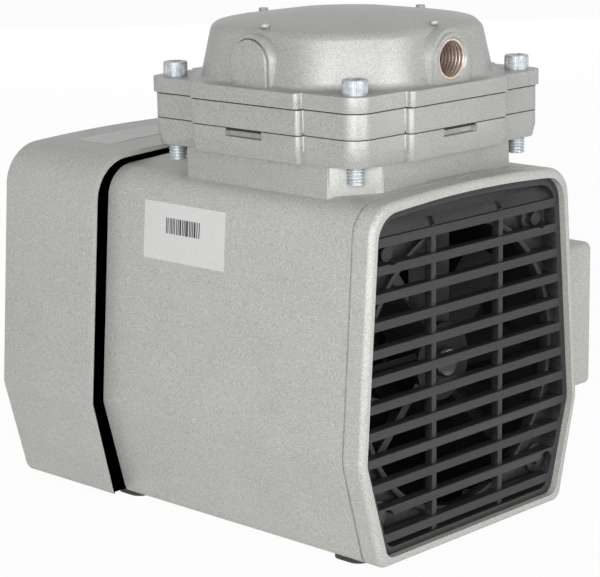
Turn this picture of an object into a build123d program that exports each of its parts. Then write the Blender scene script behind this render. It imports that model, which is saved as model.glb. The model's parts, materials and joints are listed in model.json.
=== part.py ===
from build123d import *
import math
import os

# Single-head diaphragm vacuum pump. Millimetres, +Z up, shaft along X.
# The origin is the middle of the four foot holes, on the plane the pump stands on.

os.makedirs("parts", exist_ok=True)

# ---------------------------------------------------------------- dimensions
FOOT_THICK = 1.5           # steel foot strips under the housing
FOOT_X = 52.0              # strips at +/- this X
FOOT_HOLE_Y = 35.0
FOOT_HOLE_R = 2.6

SHAFT_Z = 58.0             # motor axis height
HEAD_X = 14.5              # vertical head axis
THROW = 3.0                # crank radius, so the diaphragm stroke is 6

HOUSE_FRONT = 69.7         # housing ends along X
HOUSE_REAR = -72.0
BOTTOM_HALF = 46.5         # cross-section of the housing, half widths in Y
CREASE_HALF = 55.8
CREASE_Z = 37.0
TOP_HALF = 49.3
TOP_EDGE_Z = 117.4
CROWN_Z = 119.6
TOP_RADIUS = 11.0
WALL = 3.0

SHROUD_REAR = -98.3        # sheet-metal shroud over the rear of the housing
SHROUD_FRONT = -49.9
SHROUD_GAP = 3.9
SHROUD_WALL = 2.5
SHROUD_RISE = 3.6          # its top stands only this much above the housing top

SCREW_PITCH = 40.0         # head screws at HEAD_X +/- 40, Y +/- 40
SCREW_R = 2.4
FLANGE_HALF = 46.4
BULGE_HALF = 49.0
BASE_BOTTOM = 127.9        # stack of the head, upward
BASE_TOP = 136.5
PLATE_BOTTOM = 137.9       # the diaphragm rim lies between these two
PLATE_TOP = 144.6
COVER_BOTTOM = 145.1       # gasket between the valve plate and the cover
COVER_FLANGE_TOP = 150.0
DOME_TOP = 171.5
PORT_Z = 157.5
PORT_FACE = 46.0           # port and boss faces, from the head axis
PORT_R = 5.6

FIT = 0.03                 # radial clearance of screws and running fits


def body_outline(grow=0.0, floor_z=FOOT_THICK, rise=None):
    """Hexagonal cross-section with a crowned top, (Y, Z), grown outward and raised at the top."""
    rise = grow if rise is None else rise
    low, mid, top = BOTTOM_HALF + grow, CREASE_HALF + grow, TOP_HALF + grow
    edge_z, crown_z = TOP_EDGE_Z + rise, CROWN_Z + rise
    with BuildSketch() as outline:
        with BuildLine():
            Polyline((-top, edge_z), (-mid, CREASE_Z), (-low, floor_z),
                     (low, floor_z), (mid, CREASE_Z), (top, edge_z))
            ThreePointArc((top, edge_z), (0, crown_z), (-top, edge_z))
        make_face()
        corners = outline.vertices().sort_by(Axis.Y)
        fillet(corners[-2:], TOP_RADIUS + grow * 0.6)
        fillet(outline.vertices().sort_by(Axis.Y)[:2], 4.0)
        crease = [v for v in outline.vertices() if abs(v.Y - CREASE_Z) < 0.01]
        fillet(crease, 6.0)
    return outline.sketch_local


def flange_outline(grow=0.0):
    """Square flange with rounded ears and a slightly proud middle on each side."""
    with BuildSketch() as outline:
        RectangleRounded(2 * (FLANGE_HALF + grow), 2 * (FLANGE_HALF + grow), 6.5)
        RectangleRounded(48, 2 * (BULGE_HALF + grow), 1.5)
        RectangleRounded(2 * (BULGE_HALF + grow), 48, 1.5)
    return outline.sketch_local


def octagon(flat, diagonal):
    """Corner points of an octagon: axis flats and diagonal flats at these distances."""
    short = diagonal * math.sqrt(2) - flat
    return [(flat, short), (short, flat), (-short, flat), (-flat, short),
            (-flat, -short), (-short, -flat), (short, -flat), (flat, -short)]


def dome_outline(flat, diagonal, radius):
    with BuildSketch() as outline:
        Polygon(*octagon(flat, diagonal), align=None)
        fillet(outline.vertices(), radius)
    return outline.sketch_local


HEAD_SCREWS = [(HEAD_X + sx * SCREW_PITCH, sy * SCREW_PITCH) for sx in (-1, 1) for sy in (-1, 1)]
GRILLE_SCREWS = [(-37.6, 101.0), (37.6, 101.0), (-41.0, 16.7), (41.0, 16.7)]
REAR_SCREWS = [(-37.0, 100.0), (37.0, 100.0), (-41.0, 20.0), (41.0, 20.0)]
BRACKET_SCREWS = [(-41.0, SHAFT_Z), (41.0, SHAFT_Z)]

# ---------------------------------------------------------------- motor housing
# The cavity is drawn first, with the lugs and screw bosses taken out of it.
with BuildPart() as cavity:
    with BuildSketch(Plane.YZ.offset(HOUSE_REAR - 0.1)):
        add(body_outline(-WALL, FOOT_THICK + WALL))
    extrude(amount=HOUSE_FRONT - HOUSE_REAR + 0.2)
    for y, z in GRILLE_SCREWS:
        side, up = math.copysign(1, y), (1 if z > SHAFT_Z else -1)
        with Locations((54.5, y + side * 5.5, z + up * 5.5)):
            Box(10, 20, 20, mode=Mode.SUBTRACT)
    for y, z in REAR_SCREWS:
        side, up = math.copysign(1, y), (1 if z > SHAFT_Z else -1)
        with Locations((HOUSE_REAR + 4.5, y + side * 5.5, z + up * 5.5)):
            Box(10, 20, 20, mode=Mode.SUBTRACT)
    with Locations((24.5, 48, SHAFT_Z), (24.5, -48, SHAFT_Z)):
        Box(11, 24, 15, mode=Mode.SUBTRACT)
    for angle in (35, 145, 215, 325):
        c, s = math.cos(math.radians(angle)), math.sin(math.radians(angle))
        with Locations(Location((-36, 55 * c, SHAFT_Z + 55 * s), (angle, 0, 0))):
            Box(44, 16.2, 12, mode=Mode.SUBTRACT)

with BuildPart() as motor_housing:
    with BuildSketch(Plane.YZ.offset(HOUSE_REAR)):
        add(body_outline())
    extrude(amount=HOUSE_FRONT - HOUSE_REAR)
    fillet(motor_housing.faces().sort_by(Axis.X)[-1].edges(), 2.0)
    add(cavity.part, mode=Mode.SUBTRACT)
    # step line around the bezel
    with BuildSketch(Plane.YZ.offset(61.6)):
        add(body_outline(1.0, 0.5))
        add(body_outline(-0.6, FOOT_THICK + 0.6), mode=Mode.SUBTRACT)
    extrude(amount=0.9, mode=Mode.SUBTRACT)
    # stator seat, rod opening and screw holes
    with Locations(Location((-36, 0, SHAFT_Z), (0, 90, 0))):
        Cylinder(47.0, 44.1, mode=Mode.SUBTRACT)
    with Locations((HEAD_X, 0, 115)):
        Cylinder(33.0, 20, mode=Mode.SUBTRACT)
    for y, z in GRILLE_SCREWS:
        with Locations(Location((54.5, y, z), (0, 90, 0))):
            Cylinder(1.5 + FIT, 11, mode=Mode.SUBTRACT)
    for y, z in REAR_SCREWS:
        with Locations(Location((HOUSE_REAR + 4.5, y, z), (0, 90, 0))):
            Cylinder(2.0 + FIT, 11, mode=Mode.SUBTRACT)
    for y, z in BRACKET_SCREWS:
        with Locations(Location((24.5, y, z), (0, 90, 0))):
            Cylinder(2.0 + FIT, 12, mode=Mode.SUBTRACT)
    with Locations(*[(x, y, 3) for x in (-FOOT_X, FOOT_X) for y in (-FOOT_HOLE_Y, FOOT_HOLE_Y)]):
        Cylinder(FOOT_HOLE_R, 5, mode=Mode.SUBTRACT)
    with Locations(*[(x, y, 3) for x in (-FOOT_X, FOOT_X) for y in (-18, 18)]):
        Cylinder(2.0 + FIT, 5, mode=Mode.SUBTRACT)
motor_housing.part.label = "motor_housing"
export_step(motor_housing.part, "parts/motor_housing.step")

# ---------------------------------------------------------------- feet
for side, label in ((1, "front_foot"), (-1, "rear_foot")):
    with BuildPart() as foot:
        with BuildSketch():
            with Locations((side * FOOT_X, 0)):
                RectangleRounded(13, 89, 4)
                with Locations((0, -FOOT_HOLE_Y), (0, FOOT_HOLE_Y)):
                    Circle(FOOT_HOLE_R, mode=Mode.SUBTRACT)
        extrude(amount=FOOT_THICK)
        with Locations((side * FOOT_X, -18, FOOT_THICK), (side * FOOT_X, 18, FOOT_THICK)):
            CounterSinkHole(2.0 + FIT, 3.4, 5, counter_sink_angle=90)
        with Locations((side * FOOT_X, -18, 0), (side * FOOT_X, 18, 0)):
            Cylinder(3.4, 1.5, align=(Align.CENTER, Align.CENTER, Align.MIN), mode=Mode.SUBTRACT)
    foot.part.label = label
    export_step(foot.part, f"parts/{label}.step")

with BuildPart() as foot_screws:
    for x in (-FOOT_X, FOOT_X):
        for y in (-18, 18):
            with Locations((x, y, 0.2)):
                Cylinder(3.35, 1.3, align=(Align.CENTER, Align.CENTER, Align.MIN))
                Cylinder(2.0, 7.8, align=(Align.CENTER, Align.CENTER, Align.MIN))
foot_screws.part.label = "foot_screws"
export_step(foot_screws.part, "parts/foot_screws.step")

# ---------------------------------------------------------------- rear shroud and bearing end plate
with BuildPart() as rear_shroud:
    with BuildSketch(Plane.YZ.offset(SHROUD_REAR)):
        add(body_outline(SHROUD_GAP + SHROUD_WALL, rise=SHROUD_RISE))
    extrude(amount=SHROUD_FRONT - SHROUD_REAR)
    fillet(rear_shroud.faces().sort_by(Axis.X)[0].edges(), 3.0)
    with BuildSketch(Plane.YZ.offset(SHROUD_REAR + SHROUD_WALL)):
        add(body_outline(SHROUD_GAP, -6.0, SHROUD_RISE - SHROUD_WALL))
    extrude(amount=60, mode=Mode.SUBTRACT)
    for y, z in REAR_SCREWS:
        with Locations(Location((SHROUD_REAR, y, z), (0, 90, 0))):
            Cylinder(2.0 + FIT, 8, mode=Mode.SUBTRACT)
    with BuildSketch(Plane.YZ.offset(SHROUD_REAR - 1)):
        with Locations((0, SHAFT_Z)):
            with GridLocations(0, 9, 1, 7):
                SlotOverall(52, 4.4)
    extrude(amount=5, mode=Mode.SUBTRACT)
rear_shroud.part.label = "rear_shroud"
export_step(rear_shroud.part, "parts/rear_shroud.step")

with BuildPart() as rear_bracket:
    with BuildSketch(Plane.YZ.offset(HOUSE_REAR - 4)):
        add(body_outline(-0.4, FOOT_THICK + 0.4))
        with Locations((0, SHAFT_Z)):
            with PolarLocations(33, 8, start_angle=22.5):
                Circle(8.0, mode=Mode.SUBTRACT)
    extrude(amount=4)
    with Locations(Location((HOUSE_REAR - 3.5, 0, SHAFT_Z), (0, 90, 0))):
        Cylinder(17.0, 9)
        Cylinder(13.0, 20, mode=Mode.SUBTRACT)
    for y, z in REAR_SCREWS:
        with Locations(Location((HOUSE_REAR - 4, y, z), (0, -90, 0))):
            Cylinder(4.5, HOUSE_REAR - 4 - SHROUD_REAR - SHROUD_WALL,
                     align=(Align.CENTER, Align.CENTER, Align.MIN))
            Cylinder(2.0 + FIT, 60, mode=Mode.SUBTRACT)
rear_bracket.part.label = "rear_bracket"
export_step(rear_bracket.part, "parts/rear_bracket.step")

with BuildPart() as shroud_screws:
    for y, z in REAR_SCREWS:
        with Locations(Location((SHROUD_REAR, y, z), (0, 90, 0))):
            Cylinder(2.0, 33, align=(Align.CENTER, Align.CENTER, Align.MIN))
        with Locations(Location((SHROUD_REAR, y, z), (0, -90, 0))):
            Cylinder(4.0, 2.6, align=(Align.CENTER, Align.CENTER, Align.MIN))
shroud_screws.part.label = "shroud_screws"
export_step(shroud_screws.part, "parts/shroud_screws.step")

# ---------------------------------------------------------------- louvred grille
GRILLE_BACK = 60.0
GRILLE_FRONT = 67.5
with BuildPart() as grille_bars:
    with BuildSketch(Plane.YZ.offset(63.4)):
        for i in range(12):
            with Locations((0, 10.3 + 8.68 * i)):
                Rectangle(120, 2.9)
    extrude(amount=GRILLE_FRONT - 63.4)
    with Locations((64.2, -17, 57), (64.2, 17, 57)):
        Box(4.4, 2.2, 106)
    with Locations(Location((62.0, 0, 112.6), (0, -28, 0))):
        Box(2.0, 120, 14)
    for y, z in GRILLE_SCREWS:
        side, up = math.copysign(1, y), (1 if z > SHAFT_Z else -1)
        with Locations(Location((61.5, y, z), (0, 90, 0))):
            Cylinder(5.0, 3.0)
        with Locations((61.5, y + side * 6, z)):
            Box(3.0, 12, 7)
    with Locations(Location((61.8, 0, SHAFT_Z), (0, 90, 0))):
        Cylinder(48.6, 3.6)
        Cylinder(46.8, 3.7, mode=Mode.SUBTRACT)
    for y, z in GRILLE_SCREWS:
        with Locations(Location((61.5, y, z), (0, 90, 0))):
            Cylinder(1.5 + FIT, 9, mode=Mode.SUBTRACT)
        with Locations(Location((66.0, y, z), (0, 90, 0))):
            Cylinder(3.0, 6, mode=Mode.SUBTRACT)
    with BuildSketch(Plane.YZ.offset(GRILLE_BACK)):
        add(body_outline(-WALL - 1.4, FOOT_THICK + WALL + 1.4))
    extrude(amount=GRILLE_FRONT - GRILLE_BACK, mode=Mode.INTERSECT)

with BuildPart() as front_grille:
    with BuildSketch(Plane.YZ.offset(GRILLE_BACK)):
        add(body_outline(-WALL - 0.2, FOOT_THICK + WALL + 0.2))
        add(body_outline(-WALL - 2.4, FOOT_THICK + WALL + 2.4), mode=Mode.SUBTRACT)
    extrude(amount=GRILLE_FRONT - GRILLE_BACK)
    add(grille_bars.part)
front_grille.part.label = "front_grille"
export_step(front_grille.part, "parts/front_grille.step")

with BuildPart() as grille_screws:
    for y, z in GRILLE_SCREWS:
        with Locations(Location((50.5, y, z), (0, 90, 0))):
            Cylinder(1.5, 12.5, align=(Align.CENTER, Align.CENTER, Align.MIN))
        with Locations(Location((63.0, y, z), (0, 90, 0))):
            Cylinder(2.35, 1.8, align=(Align.CENTER, Align.CENTER, Align.MIN))
grille_screws.part.label = "grille_screws"
export_step(grille_screws.part, "parts/grille_screws.step")

# ---------------------------------------------------------------- head base
with BuildPart() as head_base:
    with BuildSketch(Plane.XY.offset(108)):
        with Locations((HEAD_X, 0)):
            Rectangle(88, 88)
            with Locations(*[(sx * 44, sy * 44) for sx in (-1, 1) for sy in (-1, 1)]):
                Rectangle(17.7, 17.7, rotation=45, mode=Mode.SUBTRACT)
            with Locations(*[(sx * 40, sy * 40) for sx in (-1, 1) for sy in (-1, 1)]):
                Circle(7.0, mode=Mode.SUBTRACT)
    extrude(amount=BASE_BOTTOM - 108)
    with BuildSketch(Plane.XY.offset(BASE_BOTTOM)):
        with Locations((HEAD_X, 0)):
            add(flange_outline())
    extrude(amount=BASE_TOP - BASE_BOTTOM)
    with BuildSketch(Plane.YZ.offset(-60)):
        add(body_outline())
    extrude(amount=150, mode=Mode.SUBTRACT)
    with Locations((HEAD_X, 0, 130)):
        Cylinder(33.0, 60, mode=Mode.SUBTRACT)
    with Locations((HEAD_X, 0, BASE_TOP)):
        Cone(33.0, 37.0, 4.0, align=(Align.CENTER, Align.CENTER, Align.MAX), mode=Mode.SUBTRACT)
    with Locations(*[(x, y, 132) for x, y in HEAD_SCREWS]):
        Cylinder(SCREW_R + FIT, 14, mode=Mode.SUBTRACT)
    for dx, dy, lx, ly in ((1, 0, 5, 16.4), (-1, 0, 5, 16.4), (0, 1, 16.4, 5), (0, -1, 16.4, 5)):
        with Locations((HEAD_X + dx * BULGE_HALF, dy * BULGE_HALF, BASE_TOP)):
            Box(lx, ly, 7.0, mode=Mode.SUBTRACT)
head_base.part.label = "head_base"
export_step(head_base.part, "parts/head_base.step")

# ---------------------------------------------------------------- diaphragm, valve plate, gasket
with BuildPart() as diaphragm:
    with BuildSketch(Plane.XY.offset(BASE_TOP)):
        with Locations((HEAD_X, 0)):
            add(flange_outline(-0.8))
            Circle(3.6, mode=Mode.SUBTRACT)
            with Locations(*[(sx * 40, sy * 40) for sx in (-1, 1) for sy in (-1, 1)]):
                Circle(2.8, mode=Mode.SUBTRACT)
    extrude(amount=PLATE_BOTTOM - BASE_TOP)
diaphragm.part.label = "diaphragm"
export_step(diaphragm.part, "parts/diaphragm.step")

with BuildPart() as valve_plate:
    with BuildSketch(Plane.XY.offset(PLATE_BOTTOM)):
        with Locations((HEAD_X, 0)):
            add(flange_outline())
            with Locations(*[(sx * 40, sy * 40) for sx in (-1, 1) for sy in (-1, 1)]):
                Circle(2.6, mode=Mode.SUBTRACT)
    extrude(amount=PLATE_TOP - PLATE_BOTTOM)
    with Locations((HEAD_X, 0, PLATE_BOTTOM)):
        Cylinder(29.0, 4.2, align=(Align.CENTER, Align.CENTER, Align.MIN), mode=Mode.SUBTRACT)
    with Locations(*[(HEAD_X + sx * 17, y, PLATE_TOP) for sx in (-1, 1) for y in (-5, 5)]):
        Cylinder(3.0, 10, mode=Mode.SUBTRACT)
    # screw holes of the reed clamps: from above on the outlet side, from below on the inlet side
    with Locations(*[(HEAD_X + sx * 17, -16.0, PLATE_TOP) for sx in (-1, 1)]):
        Cylinder(1.2 + FIT, 10, mode=Mode.SUBTRACT)
valve_plate.part.label = "valve_plate"
export_step(valve_plate.part, "parts/valve_plate.step")

with BuildPart() as head_gasket:
    with BuildSketch(Plane.XY.offset(PLATE_TOP)):
        with Locations((HEAD_X, 0)):
            add(flange_outline(-0.5))
            with Locations(*[(sx * 40, sy * 40) for sx in (-1, 1) for sy in (-1, 1)]):
                Circle(2.6, mode=Mode.SUBTRACT)
            with Locations((-19, 0), (19, 0)):
                Rectangle(34, 52, mode=Mode.SUBTRACT)
    extrude(amount=COVER_BOTTOM - PLATE_TOP)
head_gasket.part.label = "head_gasket"
export_step(head_gasket.part, "parts/head_gasket.step")

for sx, top, label in ((1, True, "outlet_reed"), (-1, False, "inlet_reed")):
    with BuildPart() as reed:
        with BuildSketch(Plane.XY.offset(PLATE_TOP if top else PLATE_BOTTOM + 3.8)):
            with Locations((HEAD_X + sx * 17, -1.5)):
                RectangleRounded(9, 22, 3)
        extrude(amount=0.4)
    reed.part.label = label
    export_step(reed.part, f"parts/{label}.step")

for sx, z, label in ((1, PLATE_TOP, "outlet_reed_clamp"), (-1, PLATE_BOTTOM + 2.7, "inlet_reed_clamp")):
    with BuildPart() as clamp:
        with Locations((HEAD_X + sx * 17, -16.0, z)):
            Box(10, 6, 1.5, align=(Align.CENTER, Align.CENTER, Align.MIN))
            Cylinder(1.2 + FIT, 8, mode=Mode.SUBTRACT)
    clamp.part.label = label
    export_step(clamp.part, f"parts/{label}.step")

with BuildPart() as reed_screws:
    with Locations((HEAD_X + 17, -16.0, PLATE_TOP + 1.5)):
        Cylinder(2.1, 1.2, align=(Align.CENTER, Align.CENTER, Align.MIN))
        Cylinder(1.2, 3.9, align=(Align.CENTER, Align.CENTER, Align.MAX))
    with Locations((HEAD_X - 17, -16.0, PLATE_BOTTOM + 2.7)):
        Cylinder(2.1, 0.6, align=(Align.CENTER, Align.CENTER, Align.MAX))
        Cylinder(1.2, 3.9, align=(Align.CENTER, Align.CENTER, Align.MIN))
reed_screws.part.label = "reed_screws"
export_step(reed_screws.part, "parts/reed_screws.step")

# ---------------------------------------------------------------- head cover
SPHERE_R = 158.0
with BuildPart() as head_cover:
    with BuildSketch(Plane.XY.offset(140)):
        with Locations((HEAD_X, 0)):
            add(dome_outline(43.5, 48.2, 8.0))
    extrude(amount=40, taper=9.0)
    with Locations((HEAD_X, 0, DOME_TOP - SPHERE_R)):
        Sphere(SPHERE_R, mode=Mode.INTERSECT)
    # port bosses along X, blank bosses along Y
    for angle, half in ((0, 8.5), (180, 8.5), (90, 7.1), (270, 7.1)):
        with BuildSketch(Plane(origin=(HEAD_X, 0, 0), x_dir=(-math.sin(math.radians(angle)),
                         math.cos(math.radians(angle)), 0),
                         z_dir=(math.cos(math.radians(angle)), math.sin(math.radians(angle)), 0)).offset(28)):
            with Locations((0, PORT_Z)):
                Circle(half)
            with Locations((0, (PORT_Z + COVER_BOTTOM) / 2)):
                Rectangle(2 * half, PORT_Z - COVER_BOTTOM)
        extrude(amount=PORT_FACE - 28)
    with BuildSketch(Plane.XY.offset(COVER_BOTTOM)):
        with Locations((HEAD_X, 0)):
            add(flange_outline(0.7))
    extrude(amount=COVER_FLANGE_TOP - COVER_BOTTOM)
    with Locations((HEAD_X, 0, COVER_BOTTOM)):
        Box(140, 140, 20, align=(Align.CENTER, Align.CENTER, Align.MAX), mode=Mode.SUBTRACT)
    # inlet and outlet chambers either side of a middle wall
    with BuildSketch(Plane.XY.offset(COVER_BOTTOM)):
        with Locations((HEAD_X, 0)):
            add(dome_outline(35.5, 40.0, 6.0))
            Rectangle(4, 90, mode=Mode.SUBTRACT)
    extrude(amount=18, mode=Mode.SUBTRACT)
    for sx in (-1, 1):
        with Locations(Location((HEAD_X + sx * (PORT_FACE - 8.0), 0, PORT_Z), (0, 90, 0))):
            Cylinder(PORT_R, 16.2, mode=Mode.SUBTRACT)
        with Locations(Location((HEAD_X + sx * PORT_FACE, 0, PORT_Z), (0, -90 * sx, 0))):
            Cone(6.9, PORT_R, 1.3, align=(Align.CENTER, Align.CENTER, Align.MIN), mode=Mode.SUBTRACT)
    with Locations(*[(x, y, COVER_BOTTOM) for x, y in HEAD_SCREWS]):
        Cylinder(2.6, 20, mode=Mode.SUBTRACT)
head_cover.part.label = "head_cover"
export_step(head_cover.part, "parts/head_cover.step")

with BuildPart() as head_screws:
    for x, y in HEAD_SCREWS:
        with Locations((x, y, COVER_FLANGE_TOP)):
            Cylinder(SCREW_R, COVER_FLANGE_TOP - 122.5, align=(Align.CENTER, Align.CENTER, Align.MAX))
            Cylinder(3.95, 4.8, align=(Align.CENTER, Align.CENTER, Align.MIN))
    fillet(head_screws.edges().filter_by(GeomType.CIRCLE).group_by(Axis.Z)[-1], 0.5)
    with BuildSketch(Plane.XY.offset(COVER_FLANGE_TOP + 4.8)):
        with Locations(*HEAD_SCREWS):
            RegularPolygon(2.3, 6)
    extrude(amount=-2.6, mode=Mode.SUBTRACT)
head_screws.part.label = "head_screws"
export_step(head_screws.part, "parts/head_screws.step")

# ---------------------------------------------------------------- rod and its diaphragm clamp
ROD_Z = SHAFT_Z + THROW    # crank at top dead centre
with BuildPart() as connecting_rod:
    with Locations(Location((HEAD_X, 0, ROD_Z), (0, 90, 0))):
        Cylinder(26.0, 12.0)
    with BuildSketch(Plane.XY.offset(ROD_Z + 20)):
        with Locations((HEAD_X, 0)):
            RectangleRounded(12, 26, 2)
    with BuildSketch(Plane.XY.offset(ROD_Z + 40)):
        with Locations((HEAD_X, 0)):
            RectangleRounded(12, 14, 2)
    loft()
    with BuildSketch(Plane.XY.offset(ROD_Z + 40)):
        with Locations((HEAD_X, 0)):
            RectangleRounded(12, 14, 2)
    extrude(amount=28.0)
    with Locations((HEAD_X, 0, 129.0)):
        Cylinder(12.0, 5.5, align=(Align.CENTER, Align.CENTER, Align.MIN))
    with Locations(Location((HEAD_X, 0, ROD_Z), (0, 90, 0))):
        Cylinder(21.0, 14.0, mode=Mode.SUBTRACT)
    with Locations((HEAD_X, 0, 134.5)):
        Cylinder(3.0 + FIT, 17, align=(Align.CENTER, Align.CENTER, Align.MAX), mode=Mode.SUBTRACT)
connecting_rod.part.label = "connecting_rod"
export_step(connecting_rod.part, "parts/connecting_rod.step")

with BuildPart() as lower_clamp_plate:
    with Locations((HEAD_X, 0, 134.5)):
        Cylinder(22.0, 2.0, align=(Align.CENTER, Align.CENTER, Align.MIN))
        Cylinder(3.0 + FIT, 10, mode=Mode.SUBTRACT)
lower_clamp_plate.part.label = "lower_clamp_plate"
export_step(lower_clamp_plate.part, "parts/lower_clamp_plate.step")

with BuildPart() as upper_clamp_plate:
    with Locations((HEAD_X, 0, PLATE_BOTTOM)):
        Cylinder(22.0, 2.0, align=(Align.CENTER, Align.CENTER, Align.MIN))
        Cylinder(3.0 + FIT, 10, mode=Mode.SUBTRACT)
    fillet(upper_clamp_plate.edges().group_by(Axis.Z)[-1].sort_by(SortBy.LENGTH)[-1], 0.8)
    with Locations((HEAD_X, 0, PLATE_BOTTOM + 2.0)):
        Cone(3.0 + FIT, 5.0, 1.97, align=(Align.CENTER, Align.CENTER, Align.MAX), mode=Mode.SUBTRACT)
upper_clamp_plate.part.label = "upper_clamp_plate"
export_step(upper_clamp_plate.part, "parts/upper_clamp_plate.step")

with BuildPart() as clamp_screw:
    with Locations((HEAD_X, 0, PLATE_BOTTOM + 1.9)):
        Cone(3.0, 4.9, 1.9, align=(Align.CENTER, Align.CENTER, Align.MAX))
        Cylinder(3.0, 21, align=(Align.CENTER, Align.CENTER, Align.MAX))
    with BuildSketch(Plane.XY.offset(PLATE_BOTTOM + 1.9)):
        with Locations((HEAD_X, 0)):
            RegularPolygon(2.2, 6)
    extrude(amount=-2.0, mode=Mode.SUBTRACT)
clamp_screw.part.label = "clamp_screw"
export_step(clamp_screw.part, "parts/clamp_screw.step")


def race(x, z, inner, outer, width, ring):
    """Shielded ball bearing on an X axis: two races with the shield set back between them."""
    with BuildPart() as bearing:
        with Locations(Location((x, 0, z), (0, 90, 0))):
            Cylinder(outer, width)
            Cylinder(inner, width + 1, mode=Mode.SUBTRACT)
        for end in (x - width / 2, x + width / 2 - 0.8):
            with BuildSketch(Plane.YZ.offset(end)):
                with Locations((0, z)):
                    Circle(outer - ring)
                    Circle(inner + ring, mode=Mode.SUBTRACT)
            extrude(amount=0.8, mode=Mode.SUBTRACT)
    return bearing.part


rod_bearing = race(HEAD_X, ROD_Z, 10.0 + FIT, 21.0, 12.0, 3.0)
rod_bearing.label = "rod_bearing"
export_step(rod_bearing, "parts/rod_bearing.step")

# ---------------------------------------------------------------- shaft and what turns with it
with BuildPart() as motor_shaft:
    with Locations(Location((-93, 0, SHAFT_Z), (0, 90, 0))):
        Cylinder(5.0, 151.5, align=(Align.CENTER, Align.CENTER, Align.MIN))
    chamfer(motor_shaft.edges().filter_by(GeomType.CIRCLE), 0.6)
motor_shaft.part.label = "motor_shaft"
export_step(motor_shaft.part, "parts/motor_shaft.step")

with BuildPart() as eccentric:
    with Locations(Location((HEAD_X, 0, ROD_Z), (0, 90, 0))):
        Cylinder(10.0, 12.0)
    with Locations(Location((HEAD_X, 0, SHAFT_Z), (0, 90, 0))):
        Cylinder(5.0, 14, mode=Mode.SUBTRACT)
eccentric.part.label = "eccentric"
export_step(eccentric.part, "parts/eccentric.step")

with BuildPart() as counterweight:
    with BuildSketch(Plane.YZ.offset(2.5)):
        with Locations((0, SHAFT_Z)):
            Circle(28.0)
            with Locations((0, 15)):
                Rectangle(60, 30, mode=Mode.SUBTRACT)
            Circle(10.0)
            Circle(5.0, mode=Mode.SUBTRACT)
    extrude(amount=5.9)
    with Locations((5.5, 0, SHAFT_Z - 15)):
        Cylinder(2.0 + FIT, 30, mode=Mode.SUBTRACT)
counterweight.part.label = "counterweight"
export_step(counterweight.part, "parts/counterweight.step")

with BuildPart() as set_screw:
    with Locations((5.5, 0, SHAFT_Z - 5.1)):
        Cylinder(2.0, 8.0, align=(Align.CENTER, Align.CENTER, Align.MAX))
set_screw.part.label = "set_screw"
export_step(set_screw.part, "parts/set_screw.step")

with BuildPart() as shaft_collar:
    with Locations(Location((24.0, 0, SHAFT_Z), (0, 90, 0))):
        Cylinder(9.0, 5.0)
        Cylinder(5.0, 6.0, mode=Mode.SUBTRACT)
shaft_collar.part.label = "shaft_collar"
export_step(shaft_collar.part, "parts/shaft_collar.step")

STACK_REAR, STACK_FRONT = -58.0, -14.0
with BuildPart() as rotor_core:
    with Locations(Location((-36, 0, SHAFT_Z), (0, 90, 0))):
        Cylinder(25.0, STACK_FRONT - STACK_REAR)
        Cylinder(5.0, 60, mode=Mode.SUBTRACT)
rotor_core.part.label = "rotor_core"
export_step(rotor_core.part, "parts/rotor_core.step")

with BuildPart() as rotor_end_rings:
    for x in (STACK_REAR - 2.5, STACK_FRONT + 2.5):
        with Locations(Location((x, 0, SHAFT_Z), (0, 90, 0))):
            Cylinder(24.0, 5.0)
            Cylinder(14.0, 6.0, mode=Mode.SUBTRACT)
rotor_end_rings.part.label = "rotor_end_rings"
export_step(rotor_end_rings.part, "parts/rotor_end_rings.step")


def fan(x, radius, depth, blades, label):
    """Axial fan on an X axis: hub with pitched blades."""
    with BuildPart() as wheel:
        with Locations(Location((x, 0, SHAFT_Z), (0, 90, 0))):
            Cylinder(13.0, depth)
        for i in range(blades):
            turn = 360 * i / blades
            c, s = math.cos(math.radians(turn)), math.sin(math.radians(turn))
            mid = (11.0 + radius) / 2
            with Locations(Location((x, mid * c, SHAFT_Z + mid * s), (turn, 0, 0))
                           * Location((0, 0, 0), (0, 38, 0))):
                Box(depth * 1.1, radius - 11.0, 2.0)
        with Locations(Location((x, 0, SHAFT_Z), (0, 90, 0))):
            Cylinder(5.0, depth + 4, mode=Mode.SUBTRACT)
    wheel.part.label = label
    return wheel.part


front_fan = fan(50.0, 43.0, 12.0, 8, "front_fan")
export_step(front_fan, "parts/front_fan.step")
rear_fan = fan(-87.5, 43.0, 9.0, 7, "rear_fan")
export_step(rear_fan, "parts/rear_fan.step")

# ---------------------------------------------------------------- bearings and front bracket
front_bearing = race(33.5, SHAFT_Z, 5.0 + FIT, 13.0, 8.0, 2.4)
front_bearing.label = "front_bearing"
export_step(front_bearing, "parts/front_bearing.step")
rear_bearing = race(-75.5, SHAFT_Z, 5.0 + FIT, 13.0, 8.0, 2.4)
rear_bearing.label = "rear_bearing"
export_step(rear_bearing, "parts/rear_bearing.step")

with BuildPart() as front_bracket:
    with Locations((32.5, 0, SHAFT_Z)):
        Box(5.0, 94, 14)
    with Locations(Location((33.5, 0, SHAFT_Z), (0, 90, 0))):
        Cylinder(17.0, 9.0)
        Cylinder(13.0, 12.0, mode=Mode.SUBTRACT)
    for y, z in BRACKET_SCREWS:
        with Locations(Location((32.5, y, z), (0, 90, 0))):
            Cylinder(2.0 + FIT, 8, mode=Mode.SUBTRACT)
front_bracket.part.label = "front_bracket"
export_step(front_bracket.part, "parts/front_bracket.step")

with BuildPart() as bracket_screws:
    for y, z in BRACKET_SCREWS:
        with Locations(Location((35.0, y, z), (0, 90, 0))):
            Cylinder(3.6, 2.6, align=(Align.CENTER, Align.CENTER, Align.MIN))
            Cylinder(2.0, 15, align=(Align.CENTER, Align.CENTER, Align.MAX))
bracket_screws.part.label = "bracket_screws"
export_step(bracket_screws.part, "parts/bracket_screws.step")

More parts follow.
